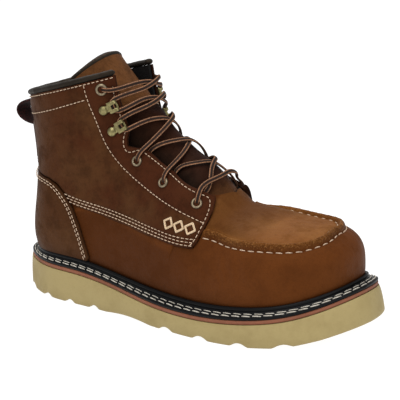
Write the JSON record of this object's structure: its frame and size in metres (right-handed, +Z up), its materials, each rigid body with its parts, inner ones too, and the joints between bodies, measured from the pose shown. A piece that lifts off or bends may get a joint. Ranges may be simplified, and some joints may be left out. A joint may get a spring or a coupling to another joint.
{
  "type": "moc toe work boot",
  "caption": "Ankle-high laced work boot with a raised moc toe seam, padded collar, pull loop, eyelets and lace hooks, on a welted wedge sole with lugs.",
  "frame": {"origin": "middle of the boot's box in plan, on the plane its sole stands on", "axes": "+X to the toe, +Y to the medial (inner) side, +Z up"},
  "size_m": [0.3138, 0.114, 0.1885],
  "materials": {
    "outsole_rubber": "matt crepe rubber",
    "midsole_rubber": "matt",
    "welt_rubber": "satin",
    "insole_board": "matt",
    "vamp_leather": "waxy, pulled up",
    "shaft_leather": "waxy",
    "collar_leather": "satin",
    "webbing": "woven",
    "brass": "antique",
    "cord": "braided"
  },
  "bodies": {
    "root": {"outsole": "outsole_rubber", "midsole": "midsole_rubber", "welt": "welt_rubber", "insole": "insole_board", "upper": "vamp_leather", "quarter_lateral": "shaft_leather", "quarter_medial": "shaft_leather", "counter": "shaft_leather", "collar": "collar_leather", "tongue": "shaft_leather", "pull_loop": "webbing", "eyelet_1_lateral": "brass", "eyelet_1_medial": "brass", "eyelet_2_lateral": "brass", "eyelet_2_medial": "brass", "eyelet_3_lateral": "brass", "eyelet_3_medial": "brass", "eyelet_4_lateral": "brass", "eyelet_4_medial": "brass", "hook_1_lateral": "brass", "hook_1_medial": "brass", "hook_2_lateral": "brass", "hook_2_medial": "brass", "lace_bar": "cord", "lace_1": "cord", "lace_2": "cord", "lace_3": "cord", "lace_4": "cord", "lace_5": "cord"}
  },
  "joints": []
}
